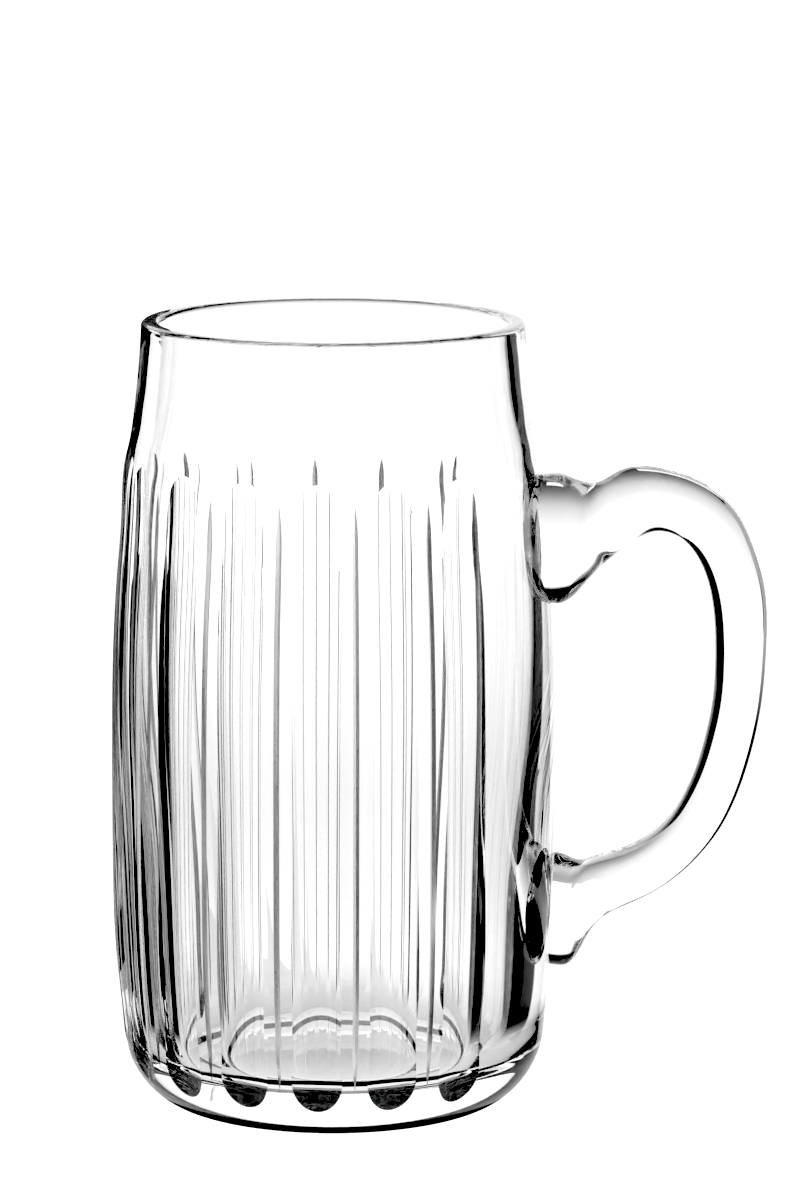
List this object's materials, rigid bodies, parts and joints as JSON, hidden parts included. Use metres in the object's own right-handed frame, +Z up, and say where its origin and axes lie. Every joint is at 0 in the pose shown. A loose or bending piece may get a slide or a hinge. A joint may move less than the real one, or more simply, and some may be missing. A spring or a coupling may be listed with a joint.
{
  "type": "beer mug",
  "caption": "Clear cut-glass beer mug: barrel body with upright flutes, plain neck, ground rim and heavy base, with an applied loop handle of drawn glass.",
  "frame": {"origin": "centre of the flat resting face under the base", "axes": "+Z up through the mouth, +X towards the handle"},
  "size_m": [0.1295, 0.0876, 0.1557],
  "materials": {
    "body_glass": "polished, flutes cut and polished, mitre lines and rim ground",
    "handle_glass": "fire polished"
  },
  "bodies": {
    "root": {"mug_body": "body_glass", "handle": "handle_glass"}
  },
  "joints": []
}
